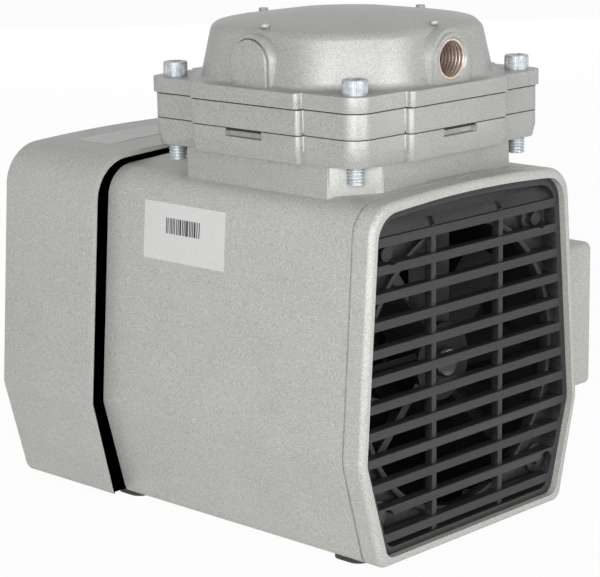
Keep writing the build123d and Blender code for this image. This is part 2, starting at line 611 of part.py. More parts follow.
# ---------------------------------------------------------------- stator and windings
with BuildPart() as stator_core:
    with BuildSketch(Plane.YZ.offset(STACK_REAR)):
        with Locations((0, SHAFT_Z)):
            Circle(46.9)
            Circle(25.5, mode=Mode.SUBTRACT)
            with PolarLocations(34.0, 16):
                Rectangle(13, 6.0, mode=Mode.SUBTRACT)
    extrude(amount=STACK_FRONT - STACK_REAR)
stator_core.part.label = "stator_core"
export_step(stator_core.part, "parts/stator_core.step")

with BuildPart() as windings:
    with BuildSketch(Plane.YZ.offset(STACK_REAR - 6)):
        with Locations((0, SHAFT_Z)):
            with PolarLocations(34.0, 16):
                Rectangle(12, 5.2)
    extrude(amount=STACK_FRONT - STACK_REAR + 12)
    for x in (STACK_REAR - 5.5, STACK_FRONT + 5.5):
        with Locations(Location((x, 0, SHAFT_Z), (0, 90, 0))):
            Cylinder(41.5, 9.0)
            Cylinder(27.5, 10.0, mode=Mode.SUBTRACT)
windings.part.label = "windings"
export_step(windings.part, "parts/windings.step")

# ---------------------------------------------------------------- capacitor box on the +Y side
BOX_X, BOX_Z = 18.0, 59.4
with BuildPart() as capacitor_box:
    with BuildSketch(Plane.XZ.offset(-48)):
        with Locations((BOX_X, BOX_Z)):
            RectangleRounded(78, 51.6, 7)
    extrude(amount=-12)
    with BuildSketch(Plane.XZ.offset(-48)):
        with Locations((BOX_X, BOX_Z)):
            RectangleRounded(73, 46.6, 5)
    extrude(amount=-12, mode=Mode.SUBTRACT)
    with BuildSketch(Plane.YZ.offset(-40)):
        add(body_outline())
    extrude(amount=120, mode=Mode.SUBTRACT)
    with Locations(*[(BOX_X + sx * 33, 54, BOX_Z + sz * 20) for sx in (-1, 1) for sz in (-1, 1)]):
        Box(9, 12, 9)
    with BuildSketch(Plane.YZ.offset(-40)):
        add(body_outline())
    extrude(amount=120, mode=Mode.SUBTRACT)
    with Locations(*[Location((BOX_X + sx * 33, 56, BOX_Z + sz * 20), (90, 0, 0))
                     for sx in (-1, 1) for sz in (-1, 1)]):
        Cylinder(1.5 + FIT, 16, mode=Mode.SUBTRACT)
capacitor_box.part.label = "capacitor_box"
export_step(capacitor_box.part, "parts/capacitor_box.step")

with BuildPart() as capacitor_cover:
    with BuildSketch(Plane.XZ.offset(-60)):
        with Locations((BOX_X, BOX_Z)):
            RectangleRounded(78, 51.6, 7)
    extrude(amount=-20.5)
    fillet(capacitor_cover.faces().sort_by(Axis.Y)[-1].edges(), 3.5)
    with BuildSketch(Plane.XZ.offset(-60)):
        with Locations((BOX_X, BOX_Z)):
            RectangleRounded(73, 46.6, 5)
    extrude(amount=-18.0, mode=Mode.SUBTRACT)
    with Locations(*[Location((BOX_X + sx * 33, 80, BOX_Z + sz * 20), (90, 0, 0))
                     for sx in (-1, 1) for sz in (-1, 1)]):
        Cylinder(1.5 + FIT, 12, mode=Mode.SUBTRACT)
capacitor_cover.part.label = "capacitor_cover"
export_step(capacitor_cover.part, "parts/capacitor_cover.step")

with BuildPart() as box_screws:
    for sx in (-1, 1):
        for sz in (-1, 1):
            with Locations(Location((BOX_X + sx * 33, 80.5, BOX_Z + sz * 20), (90, 0, 0))):
                Cylinder(1.5, 22, align=(Align.CENTER, Align.CENTER, Align.MIN))
            with Locations(Location((BOX_X + sx * 33, 80.5, BOX_Z + sz * 20), (-90, 0, 0))):
                Cylinder(2.7, 1.8, align=(Align.CENTER, Align.CENTER, Align.MIN))
box_screws.part.label = "box_screws"
export_step(box_screws.part, "parts/box_screws.step")

with BuildPart() as run_capacitor:
    with BuildSketch(Plane.XZ.offset(-57)):
        with Locations((BOX_X + 3, BOX_Z)):
            RectangleRounded(46, 34, 4)
    extrude(amount=-20)
    with Locations((BOX_X - 21.5, 67, BOX_Z - 6), (BOX_X - 21.5, 67, BOX_Z + 6)):
        Box(5, 6.3, 0.8)
run_capacitor.part.label = "run_capacitor"
export_step(run_capacitor.part, "parts/run_capacitor.step")
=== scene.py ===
# %% [markdown]
# # A diaphragm vacuum pump
# The engineering model already holds every part at its true size. This lesson gives each part its
# finish, and adds the small things that a solid model leaves out: soft cast edges, screw threads,
# the rounded dome, stickers and light.

# %% Load the engineering model
import json
import math
import random
import bmesh
import bpy
from mathutils import Matrix, Vector


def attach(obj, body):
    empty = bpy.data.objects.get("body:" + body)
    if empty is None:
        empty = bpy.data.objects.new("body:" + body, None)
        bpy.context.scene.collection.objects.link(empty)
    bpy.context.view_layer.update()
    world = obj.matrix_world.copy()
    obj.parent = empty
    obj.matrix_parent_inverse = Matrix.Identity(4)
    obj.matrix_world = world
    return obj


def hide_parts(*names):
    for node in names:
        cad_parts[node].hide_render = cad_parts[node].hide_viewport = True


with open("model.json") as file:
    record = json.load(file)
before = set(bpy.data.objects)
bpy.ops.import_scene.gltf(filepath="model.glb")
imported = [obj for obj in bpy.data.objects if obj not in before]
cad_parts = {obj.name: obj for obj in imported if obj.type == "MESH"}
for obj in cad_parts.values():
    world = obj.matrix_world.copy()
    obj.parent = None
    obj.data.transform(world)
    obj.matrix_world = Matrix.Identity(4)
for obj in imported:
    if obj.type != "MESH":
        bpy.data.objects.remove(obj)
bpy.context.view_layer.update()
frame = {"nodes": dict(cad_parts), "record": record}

MM = 0.001
print("nodes loaded:", len(frame["nodes"]))

# %% [markdown]
# ## Colours
# A colour picked from a chart is an sRGB hex value, while shaders work in linear light.
# One function turns the first into the second, so every colour below can be read as it looks.

# %% One function for colours
def colour(hex_value):
    """sRGB hex such as B1B2AE to a linear RGBA tuple."""
    parts = [int(hex_value[i:i + 2], 16) / 255 for i in (0, 2, 4)]
    linear = [c / 12.92 if c <= 0.04045 else ((c + 0.055) / 1.055) ** 2.4 for c in parts]
    return (*linear, 1.0)


print("B1B2AE in linear light:", [round(c, 3) for c in colour("B1B2AE")])

# %% [markdown]
# ## Building a material
# A material is a small tree of nodes. Two helpers keep the trees short: one starts a material with
# its plain values, and one adds a node with its settings and links.

# %% Start a material, add a node
def finish(name, base, metallic, roughness):
    """A new material with plain values on its main shader."""
    material = bpy.data.materials.new(name)
    material.use_nodes = True
    shader = material.node_tree.nodes["Principled BSDF"]
    shader.inputs["Base Color"].default_value = colour(base)
    shader.inputs["Metallic"].default_value = metallic
    shader.inputs["Roughness"].default_value = roughness
    return material, shader


def add_node(material, kind, settings=None, **links):
    """Add one node; links name an input and give a value or another node's output."""
    node = material.node_tree.nodes.new(kind)
    for key, value in (settings or {}).items():
        setattr(node, key, value)
    for key, value in links.items():
        numbered = key[1:].isdigit()
        socket = node.inputs[int(key[1:]) if numbered else key.replace("_", " ")]
        if isinstance(value, bpy.types.NodeSocket):
            material.node_tree.links.new(value, socket)
        else:
            socket.default_value = value
    return node


print("material helpers:", finish.__name__, add_node.__name__)

# %% [markdown]
# ## Grain
# No painted, cast or moulded surface is one flat colour. A fine noise stands for its grain: it
# tints the colour, changes the gloss and lifts the surface, all three from one real size. A
# second, wide noise adds faint clouds, which is how an even coat looks on a large face.

# %% Noise of a real size
RAMP_LOW, RAMP_HIGH = 0.36, 0.64
CLOUD_MM, CLOUD_SHARE = 50 / 3, 0.12


def grain(material, shader, size_mm, colours, rough, bump_mm):
    """Fine grain: noise of one real size that tints the colour and lifts the surface."""
    place = add_node(material, "ShaderNodeTexCoord").outputs["Object"]
    noise = add_node(material, "ShaderNodeTexNoise", Vector=place, Scale=1000 / size_mm,
                     Detail=2.0)
    height = noise.outputs["Fac"]
    ramp = add_node(material, "ShaderNodeValToRGB", Fac=height)
    for stop, position, hex_value in zip(ramp.color_ramp.elements, (RAMP_LOW, RAMP_HIGH), colours):
        stop.position, stop.color = position, colour(hex_value)
    cloud = add_node(material, "ShaderNodeTexNoise", Vector=place, Scale=1000 / CLOUD_MM,
                     Detail=3.0)
    tint = add_node(material, "ShaderNodeMix", {"data_type": "RGBA", "blend_type": "SOFT_LIGHT"},
                    i0=CLOUD_SHARE, i6=ramp.outputs["Color"], i7=cloud.outputs["Fac"])
    span = add_node(material, "ShaderNodeMapRange", Value=height, To_Min=rough[0], To_Max=rough[1])
    bump = add_node(material, "ShaderNodeBump", Height=height, Distance=bump_mm * MM, Strength=1.0)
    links = material.node_tree.links
    links.new(tint.outputs[2], shader.inputs["Base Color"])
    links.new(span.outputs["Result"], shader.inputs["Roughness"])
    links.new(bump.outputs["Normal"], shader.inputs["Normal"])
    return material


print("clouds are", round(CLOUD_MM), "mm across")

# %% Two tones from one colour
def shaded(hex_value, factor):
    """The same colour, darker or lighter by a factor."""
    parts = [round(int(hex_value[i:i + 2], 16) * factor) for i in (0, 2, 4)]
    return "".join(f"{min(255, part):02X}" for part in parts)


def speckled(name, base, metallic, roughness, size_mm=0.9, bump_mm=0.004, contrast=0.1):
    """A finish with a faint grain, a little darker and a little lighter than its base."""
    material, shader = finish(name, base, metallic, roughness)
    pair = (shaded(base, 1 - contrast), shaded(base, 1 + contrast))
    return grain(material, shader, size_mm, pair, (roughness - 0.05, roughness + 0.06), bump_mm)


print("a tenth darker and lighter than 808080:", shaded("808080", 0.9), shaded("808080", 1.1))

# %% [markdown]
# ## Sprayed silver enamel
# The housing, shroud and side box carry a silver enamel with metal flake in it. Up close it is a
# speckle of light and dark flakes of about a tenth of a millimetre, drawn at 0.42 mm to show.
# The flakes scatter light, so the coat is only partly metallic and has a broad, soft gloss. A
# procedural grain is used instead of an image, so it has the same size on every face.

# %% Silver enamel
paint, paint_shader = finish("silver_flake_enamel", "B1B2AE", 0.2, 0.46)
paint_shader.inputs["Specular IOR Level"].default_value = 0.25
grain(paint, paint_shader, 0.42, ("A3A4A0", "C2C3BE"), (0.40, 0.53), 0.02)
print("enamel:", paint.name)

# %% [markdown]
# ## Cast aluminium
# The head is die-cast and lightly blasted. It is bare metal, so it is more metallic than the
# paint, with the same fine grain and faint clouds where it cooled at different speeds. Modelled
# pits would be too small to see, so the grain only tints and bumps the surface.

# %% Cast aluminium
cast, cast_shader = finish("blasted_cast_aluminium", "A8A9A6", 0.38, 0.42)
cast_shader.inputs["Specular IOR Level"].default_value = 0.3
grain(cast, cast_shader, 0.42, ("999A97", "B1B2AF"), (0.40, 0.50), 0.02)
print("castings:", cast.name)

# %% [markdown]
# ## Zinc plate and bare steel
# The screws are zinc plated, which is a cool grey with a slight gloss. The shaft, the bearings and
# the tapped threads are bare cut metal: fully or mostly metallic. Tool marks are too fine to be
# modelled one by one, so a shallow grain stands for them.

# %% Screws, shaft and threads
zinc, zinc_shader = finish("zinc_plated_steel", "A0A5A8", 0.5, 0.38)
grain(zinc, zinc_shader, 0.9, ("9EA4A8", "B8BDC0"), (0.34, 0.44), 0.004)

steel = speckled("ground_steel", "9A9996", 1.0, 0.35, 0.6, 0.002, 0.05)
black_oxide = speckled("black_oxide_steel", "2C2B2C", 0.3, 0.45, 0.8)
# painted shade: the shaft's steel is darker than the ground steel, as its end sits in the shade
# inside the housing
shaded_shaft_steel = speckled("shaft_steel_with_painted_shade", "8C8A86", 1.0, 0.35, 0.7, 0.002, 0.06)
tapped = speckled("tapped_aluminium", "E2CFC4", 0.75, 0.28, 0.5, 0.002, 0.04)
print("bare metals:", zinc.name, steel.name, shaded_shaft_steel.name, tapped.name)

# %% [markdown]
# ## Black moulded plastic and rubber
# The grille is glass-filled nylon: near black, a little grey where light grazes its satin face.
# The fans are a plainer black nylon. The diaphragm and seals are nitrile rubber, which is matt.
# One grain with different gloss tells them apart, as their colours are almost the same.

# %% Black plastics
nylon, nylon_shader = finish("black_glass_filled_nylon", "2A292B", 0.0, 0.42)
grain(nylon, nylon_shader, 1.2, ("1F1E1F", "2B292B"), (0.34, 0.48), 0.01)
fan_plastic = speckled("black_fan_nylon", "111112", 0.0, 0.5, 1.0, 0.006)
rubber = speckled("black_nitrile_rubber", "1A1A1B", 0.0, 0.7, 0.7, 0.008)
capacitor_case = speckled("capacitor_case_plastic", "232325", 0.0, 0.3, 1.0)
print("plastics:", nylon.name, fan_plastic.name, rubber.name, capacitor_case.name)

# %% [markdown]
# ## The motor's inner metals
# Behind the grille sit varnished sheet steel and copper wire. Their colours are darkened well
# below what varnish alone gives, as painted shade, because they are seen only in the shade between
# the louvres. The foot strips are black-coated steel. The inside of the shell gets a near-black
# coat of painted shade.

# %% Inner metals and the painted shade coat
# painted shade: the laminations and windings are darkened well below their own colour
lamination = speckled("varnished_sheet_steel_with_painted_shade", "1C1C1D", 0.2, 0.6, 0.9, 0.006, 0.15)
copper = speckled("varnished_copper_with_painted_shade", "2A1B14", 0.3, 0.4, 0.8, 0.03, 0.3)
dark_steel = speckled("black_coated_strip", "2B2B2D", 0.1, 0.55, 0.8, 0.006)
# painted shade: a near-black coat for the inner faces, the gap under the shroud, the shroud's rim
# and the port ends
painted_shade_coat = speckled("painted_shade_inner_coat", "0E0E0F", 0.0, 0.8, 0.8, 0.008)
print("inner finishes:", lamination.name, copper.name, dark_steel.name, painted_shade_coat.name)

# %% [markdown]
# ## Sticker film and its print
# The stickers are a satin white film, a shade lighter than the enamel. The print on them is a flat
# black ink with almost no gloss. Both are plain finishes, and the pattern itself is modelled.

# %% Film and ink
paper = speckled("white_label_film", "D0CFCE", 0.0, 0.45, 0.7, 0.002, 0.015)
ink = speckled("black_print", "2A2A2C", 0.0, 0.6, 0.5, 0.001)
print("sticker finishes:", paper.name, ink.name)

# %% [markdown]
# ## Giving each engineering part its finish
# Slots in the engineering record say which parts share a finish, so one table is enough. A few
# nodes then get a finish of their own: the fans, the black grille screws, the shaft, the brackets.

# %% Finish of each node
BY_SLOT = {"silver_paint": paint, "cast_aluminium": cast, "black_plastic": nylon,
           "zinc_steel": zinc, "ground_steel": steel, "foot_steel": dark_steel,
           "elastomer": rubber, "lamination": lamination, "copper_wire": copper,
           "capacitor_case": capacitor_case}
SLOT_OF = {s["node"]: s["material_slot"] for s in frame["record"]["subparts"]}


def paint_node(node, material):
    """Put one material on an engineering node."""
    mesh = bpy.data.objects[node].data
    mesh.materials.clear()
    mesh.materials.append(material)


for node, slot_name in SLOT_OF.items():
    paint_node(node, BY_SLOT[slot_name])
for node in ("front_fan", "rear_fan"):
    paint_node(node, fan_plastic)
paint_node("grille_screws", black_oxide)
# painted shade: the shaft and the brackets take darkened finishes, as they sit in the shade inside
# the housing
paint_node("motor_shaft", shaded_shaft_steel)
for node in ("front_bracket", "rear_bracket"):
    paint_node(node, lamination)
print("finished nodes:", len(SLOT_OF))

# %% [markdown]
# ## Small workshop helpers
# Every new piece starts from a primitive, is shaped in edit mode, and ends with its place baked
# into its mesh. These helpers hold the steps that repeat.

# %% Selecting and placing
def deselect():
    """Leave edit mode and select nothing, as a tool acts on all that is selected."""
    if bpy.context.object and bpy.context.object.mode != "OBJECT":
        bpy.ops.object.mode_set(mode="OBJECT")
    bpy.ops.object.select_all(action="DESELECT")


def only(piece):
    """Select one piece and make it the active one."""
    deselect()
    piece.select_set(True)
    bpy.context.view_layer.objects.active = piece


def apply_place(piece):
    """Bake a piece's place, turn and scale into its mesh."""
    only(piece)
    bpy.ops.object.transform_apply(location=True, rotation=True, scale=True)
    return piece


print("place helpers:", only.__name__, apply_place.__name__)

# %% Joining and finishing
def join(name, parts):
    """Join several meshes into one named piece."""
    deselect()
    for part in parts:
        part.select_set(True)
    bpy.context.view_layer.objects.active = parts[0]
    if len(parts) > 1:
        bpy.ops.object.join()
    parts[0].name = name
    return apply_place(parts[0])


def settle(piece, material, slot_name, body="housing", angle=35):
    """Give a finished piece its material, shading and body; the slot name is not used."""
    piece.data.materials.clear()
    piece.data.materials.append(material)
    only(piece)
    bpy.ops.object.shade_smooth_by_angle(angle=math.radians(angle))
    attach(piece, body)
    return piece


print("piece helpers:", join.__name__, settle.__name__)

# %% Rounding and editing
def bevel(piece, width_mm, segments=2, angle=30):
    """Round every edge sharper than the angle."""
    modifier = piece.modifiers.new("edge", "BEVEL")
    modifier.width, modifier.segments = width_mm * MM, segments
    modifier.limit_method, modifier.angle_limit = "ANGLE", math.radians(angle)
    modifier.use_clamp_overlap = True
    only(piece)
    bpy.ops.object.modifier_apply(modifier=modifier.name)
    return piece


def edit(piece):
    """Edit one piece, with all of it selected."""
    only(piece)
    bpy.ops.object.mode_set(mode="EDIT")
    bpy.ops.mesh.select_all(action="SELECT")


print("mesh helpers:", bevel.__name__, edit.__name__)

# %% [markdown]
# ## Adding and cutting solids
# A casting or a moulding is easiest to describe as blocks and round bars, added or cut away.
# Three helpers cover this: a block, a bar, and one that joins or subtracts two solids.

# %% Blocks, bars and how they combine
def combine(piece, other, operation="UNION"):
    """Add a second solid to a piece, or cut it away, and use the second one up."""
    modifier = piece.modifiers.new("join", "BOOLEAN")
    modifier.object, modifier.operation, modifier.solver = other, operation, "EXACT"
    only(piece)
    bpy.ops.object.modifier_apply(modifier=modifier.name)
    bpy.data.objects.remove(other)


def box_piece(size, place, turn=(0, 0, 0)):
    """A block of this size at this place, in millimetres."""
    deselect()
    bpy.ops.mesh.primitive_cube_add(size=1, location=[v * MM for v in place], rotation=turn,
                                    scale=[v * MM for v in size])
    return apply_place(bpy.context.object)


def rod_piece(radius, length, place, turn, vertices=48):
    """A round bar of this size at this place, in millimetres."""
    deselect()
    bpy.ops.mesh.primitive_cylinder_add(vertices=vertices, radius=radius * MM, depth=length * MM,
                                        location=[v * MM for v in place], rotation=turn)
    return apply_place(bpy.context.object)


ALONG_X, ALONG_Y = (0, math.pi / 2, 0), (math.pi / 2, 0, 0)
print("tools:", combine.__name__, box_piece.__name__, rod_piece.__name__)

# %% [markdown]
# ## Soft edges on the castings
# No casting leaves its mould with a knife edge. Each casting below is a copy of the engineering
# mesh: its loose triangles are merged and flat areas joined again, and then its edges are rounded
# by a few tenths of a millimetre, so that they catch the light. Rounding a copy keeps the
# engineering node untouched, and only the copy is shown.

# %% Copy a casting
def cast_copy(node, name, width_mm):
    """Copy a node's mesh, clean it, round its edges, and let the copy stand for the node."""
    source = bpy.data.objects[node]
    piece = bpy.data.objects.new(name, source.data.copy())
    bpy.context.collection.objects.link(piece)
    edit(piece)
    bpy.ops.mesh.remove_doubles(threshold=0.00001)
    bpy.ops.mesh.dissolve_limited(angle_limit=math.radians(1.0))
    bpy.ops.object.mode_set(mode="OBJECT")
    if width_mm:
        bevel(piece, width_mm)
    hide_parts(node)
    return piece


grille = cast_copy("front_grille", "grille_moulding", 0.25)
print("grille faces:", len(grille.data.polygons))

# %% [markdown]
# ## Corner web of the grille
# Behind the louvres a thin web fills each corner between the frame and the round air ring. It is
# one plate of the opening's outline with the ring's circle cut out, so the corners match.

# %% Web with a round hole
SHAFT_Z = 58.0
WEB_BACK, WEB_THICK, RING_BORE = 60.3, 1.2, 47.3
WEB_OUTLINE = [(-42, 6.6), (42, 6.6), (50.6, 37), (44.6, 105), (38, 112),
               (-38, 112), (-44.6, 105), (-50.6, 37)]
mesh = bmesh.new()
ring = [mesh.verts.new((WEB_BACK * MM, y * MM, z * MM)) for y, z in WEB_OUTLINE]
sheet = bmesh.ops.extrude_face_region(mesh, geom=[mesh.faces.new(ring)])
for corner in sheet["geom"]:
    if isinstance(corner, bmesh.types.BMVert):
        corner.co.x += WEB_THICK * MM
bmesh.ops.recalc_face_normals(mesh, faces=mesh.faces)
web = bpy.data.objects.new("corner_web", bpy.data.meshes.new("corner_web"))
bpy.context.collection.objects.link(web)
mesh.to_mesh(web.data)
mesh.free()
combine(web, rod_piece(RING_BORE, 6, (60.8, 0, SHAFT_Z), ALONG_X, 96), "DIFFERENCE")
print("web faces:", len(web.data.polygons))

# %% Trim the upright bars
# they stop at the top louvre, so their ends in front of the sloped hood are cut away
HOOD_SLOPE, BAR_Y, BAR_END = math.radians(-28), 17, (3, 3.2, 10)
for y in (-BAR_Y, BAR_Y):
    combine(grille, box_piece(BAR_END, (65.0, y, 112.5), (0, HOOD_SLOPE, 0)), "DIFFERENCE")
grille = join("grille_moulding", [grille, bevel(web, 0.25, 2)])
settle(grille, nylon, "black_plastic")
print("grille with its web:", len(grille.data.polygons), "faces")

# %% [markdown]
# ## Side box with tight corners
# The box on the far side is folded and painted, so its corners are tight. The cover is a block
# with its four corners and its rim bevelled, hollowed from behind and drilled for its screws. The
# base keeps the engineering mesh, with its corner arcs pulled out to the same radius.

# %% A block with rounded corners
BOX_X, BOX_Z, BOX_HALF_X, BOX_HALF_Z = 18.0, 59.4, 39.0, 25.8
CAD_CORNER, TIGHT_CORNER = 7.0, 2.6


def rounded_block(half_x, half_z, low_y, high_y, corner, rim):
    """Block along Y with rounded corners and a rounded outer rim, in millimetres."""
    middle = (BOX_X, (low_y + high_y) / 2, BOX_Z)
    block = box_piece((2 * half_x, high_y - low_y, 2 * half_z), middle)
    mesh = bmesh.new()
    mesh.from_mesh(block.data)
    upright = [e for e in mesh.edges if abs(e.verts[0].co.y - e.verts[1].co.y) > MM]
    bmesh.ops.bevel(mesh, geom=upright, offset=corner * MM, segments=5, profile=0.5,
                    affect="EDGES")
    outer = [e for e in mesh.edges if min(v.co.y for v in e.verts) > (high_y - 0.01) * MM]
    bmesh.ops.bevel(mesh, geom=outer, offset=rim * MM, segments=4, profile=0.5, affect="EDGES")
    mesh.to_mesh(block.data)
    mesh.free()
    return block


print("corner radius:", TIGHT_CORNER, "mm instead of", CAD_CORNER)

# %% Side box cover
CORNERS = [(sx, sy) for sx in (-1, 1) for sy in (-1, 1)]
BOX_WALL, BOX_SCREW_X, BOX_SCREW_Z, BOX_SCREW_R = 2.5, 33, 20, 1.65
cover = rounded_block(BOX_HALF_X, BOX_HALF_Z, 60.0, 80.5, TIGHT_CORNER, 1.3)
hollow = rounded_block(BOX_HALF_X - BOX_WALL, BOX_HALF_Z - BOX_WALL, 59.0, 78.0, 0.8, 0.4)
combine(cover, hollow, "DIFFERENCE")
for sx, sz in CORNERS:
    place = (BOX_X + sx * BOX_SCREW_X, 80, BOX_Z + sz * BOX_SCREW_Z)
    combine(cover, rod_piece(BOX_SCREW_R, 12, place, ALONG_Y, 24), "DIFFERENCE")
cover.name = "side_box_cover"
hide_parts("capacitor_cover")
settle(cover, paint, "silver_paint")
print("side box cover:", len(cover.data.polygons), "faces")

# %% Side box base
base = cast_copy("capacitor_box", "side_box_base", 0.0)
shift = CAD_CORNER - TIGHT_CORNER
for vert in base.data.vertices:
    x, z = vert.co.x / MM - BOX_X, vert.co.z / MM - BOX_Z
    sx, sz = math.copysign(1, x), math.copysign(1, z)
    dx, dz = abs(x) - (BOX_HALF_X - CAD_CORNER), abs(z) - (BOX_HALF_Z - CAD_CORNER)
    reach = math.hypot(dx, dz)
    if min(dx, dz) > -0.01 and reach > CAD_CORNER - 0.3:
        scale = (reach - shift) / reach
        vert.co.x = (BOX_X + sx * (BOX_HALF_X - CAD_CORNER + shift + dx * scale)) * MM
        vert.co.z = (BOX_Z + sz * (BOX_HALF_Z - CAD_CORNER + shift + dz * scale)) * MM
settle(base, paint, "silver_paint")
print("side box base:", len(base.data.polygons), "faces")

# %% [markdown]
# ## Rubber edge of the diaphragm and painted seam shade
# The diaphragm is a rubber sheet clamped between the head base and the valve plate. Its rim and
# the shade of the seam above it show as a dark line along the top of the four slots in the base
# flange. Four thin black rubber bars stand for both, so they are partly the rubber rim and partly
# painted shade; the rest of the rim is hidden.

# %% Four dark bars: rubber rim and painted seam shade
HEAD_X, QUARTERS = 14.5, (0, 90, 180, 270)
SEAM_BAR_RADIUS, SEAM_BAR_Z, SEAM_BAR_SIZE = 47.0, 136.3, (2.6, 16.2, 0.9)
edges = []
for angle in QUARTERS:
    c, s = math.cos(math.radians(angle)), math.sin(math.radians(angle))
    place = (HEAD_X + SEAM_BAR_RADIUS * c, SEAM_BAR_RADIUS * s, SEAM_BAR_Z)
    edges.append(box_piece(SEAM_BAR_SIZE, place, (0, 0, math.radians(angle))))
# painted shade: the bars are partly the dark rubber rim and partly the shade of the seam above it
settle(join("diaphragm_edges", edges), rubber, "elastomer")
print("rubber bars:", len(edges))

# %% [markdown]
# ## Head base
# The base flange leans in below its middle, which is the draft that lets it leave the mould. Its
# upright edges are cast with a wide radius beside the screws. The engineering mesh is kept, and
# only its vertices and edges are worked, so that every bore stays where it was.

# %% Where the flange rim is
RIM_FLAT, RIM_DIAGONAL = 39.9, 46.3


def is_rim(vert):
    """On the outer side of the square flange."""
    x, y = vert.co.x / MM - HEAD_X, vert.co.y / MM
    return max(abs(x), abs(y)) > RIM_FLAT and math.hypot(x, y) > RIM_DIAGONAL


def draw_in(vert, share):
    """Move a vertex towards the upright axis of the head."""
    vert.co.x = (HEAD_X + (vert.co.x / MM - HEAD_X) * share) * MM
    vert.co.y *= share


print("the rim of the flange starts", RIM_FLAT, "mm out")

# %% Rounded uprights
COLUMN_TOP, SIDE_OUT, SIDE_MIDDLE = 127.0, 40, 20
# on the column or not, how far from the middle of a side an edge may stand, and its radius
ROUNDINGS = ((True, 60, 2.6), (False, 24.6, 0.5))


def is_upright(edge):
    """A sharp edge that stands upright and is longer than 3 mm."""
    a, b = (v.co / MM for v in edge.verts)
    upright = abs(a.x - b.x) < 0.6 and abs(a.y - b.y) < 0.6 and abs(a.z - b.z) > 3.0
    return upright and len(edge.link_faces) == 2 and edge.calc_face_angle(0) > math.radians(25)


def round_uprights(piece):
    """Round the upright edges: wide on the column beside the screws, less at the flange steps."""
    mesh = bmesh.new()
    mesh.from_mesh(piece.data)
    for low, reach, radius in ROUNDINGS:
        chosen = []
        for edge in filter(is_upright, mesh.edges):
            a, b = (v.co / MM for v in edge.verts)
            x, y, z = abs((a.x + b.x) / 2 - HEAD_X), abs((a.y + b.y) / 2), (a.z + b.z) / 2
            beside_screw = max(x, y) > SIDE_OUT and SIDE_MIDDLE < min(x, y) < reach
            if beside_screw and (z < COLUMN_TOP) == low:
                chosen.append(edge)
        bmesh.ops.bevel(mesh, geom=chosen, offset=radius * MM, segments=4, profile=0.5,
                        affect="EDGES", clamp_overlap=True)
    mesh.to_mesh(piece.data)
    mesh.free()


print("upright radii in mm:", [radius for _, _, radius in ROUNDINGS])

# %% Draft of the base flange
BASE_BOTTOM, BASE_MIDDLE, BASE_DRAFT = 127.9, 131.8, 0.985
LEDGE_Z, LEDGE_RAISED = 133.0, 133.9  # the top of each slot in the flange
base = cast_copy("head_base", "head_base_cast", 0.0)
edit(base)
bpy.ops.mesh.bisect(plane_co=(0, 0, BASE_MIDDLE * MM), plane_no=(0, 0, 1))
bpy.ops.object.mode_set(mode="OBJECT")
for vert in base.data.vertices:
    if abs(vert.co.z - BASE_BOTTOM * MM) < 0.05 * MM and is_rim(vert):
        draw_in(vert, BASE_DRAFT)
    if abs(vert.co.z - LEDGE_Z * MM) < 0.05 * MM:
        vert.co.z = LEDGE_RAISED * MM
round_uprights(base)
bevel(base, 0.4, 3, 20)
print("head base:", len(base.data.polygons), "faces")

# %% [markdown]
# ## Corner webs of the column
# Behind each screw the column has a flat, narrow face instead of a sharp corner. It is a small
# block set across the corner and rounded. Cutting the corner of the mesh itself would also cut the
# screw's bore, so a block is added instead.

# %% Webs behind the screws
WEB_RADIUS, WEB_Z, WEB_SIZE = 35.4, 121.4, (6.4, 17.6, 13.0)
webs = []
for sx, sy in CORNERS:
    place = (HEAD_X + sx * WEB_RADIUS, sy * WEB_RADIUS, WEB_Z)
    webs.append(bevel(box_piece(WEB_SIZE, place, (0, 0, math.atan2(sy, sx))), 1.2, 3))
base = join("head_base_cast", [base] + webs)
settle(base, cast, "cast_aluminium")
print("head base with webs:", len(base.data.polygons), "faces")

# %% [markdown]
# ## Valve plate
# The valve plate has a thin skirt that hides the rim of the rubber diaphragm and leaves a fine
# dark seam under it. The skirt is drawn from the plate's lower rim: down, inward and up again. It
# follows the rim exactly, which a separate ring would not.

# %% Skirt of the valve plate
PLATE_BOTTOM = 137.9
SKIRT_STEPS = ((1.05, 1.0), (0.0, 0.986), (-1.05, 1.0))
plate = cast_copy("valve_plate", "valve_plate_cast", 0.0)
mesh = bmesh.new()
mesh.from_mesh(plate.data)
skirt = [e for e in mesh.edges
         if all(abs(v.co.z - PLATE_BOTTOM * MM) < 0.01 * MM and is_rim(v) for v in e.verts)]
skirt = [e for e in skirt if any(abs(f.normal.z) < 0.5 for f in e.link_faces)]
for drop, share in SKIRT_STEPS:
    grown = bmesh.ops.extrude_edge_only(mesh, edges=skirt)["geom"]
    for vert in [g for g in grown if isinstance(g, bmesh.types.BMVert)]:
        vert.co.z -= drop * MM
        draw_in(vert, share)
    skirt = [g for g in grown if isinstance(g, bmesh.types.BMEdge)]
bmesh.ops.recalc_face_normals(mesh, faces=mesh.faces)
mesh.to_mesh(plate.data)
mesh.free()
print("skirt edges:", len(skirt))

# %% Soft edges of the valve plate
round_uprights(plate)
bevel(plate, 0.4, 3, 40)
settle(plate, cast, "cast_aluminium")
print("valve plate:", len(plate.data.polygons), "faces")

# %% [markdown]
# ## Painted shade inside the shroud and the shell
# The shroud is open at the front and stands a few millimetres off the housing. Its inner face, and
# the housing that it covers, are painted near black as painted shade, so the gap between them
# reads as a dark line. The shell's inside gets the same painted shade, so the openings of the
# grille look deep. Faces are given one of two materials, which keeps the edge of the painted shade
# crisp.

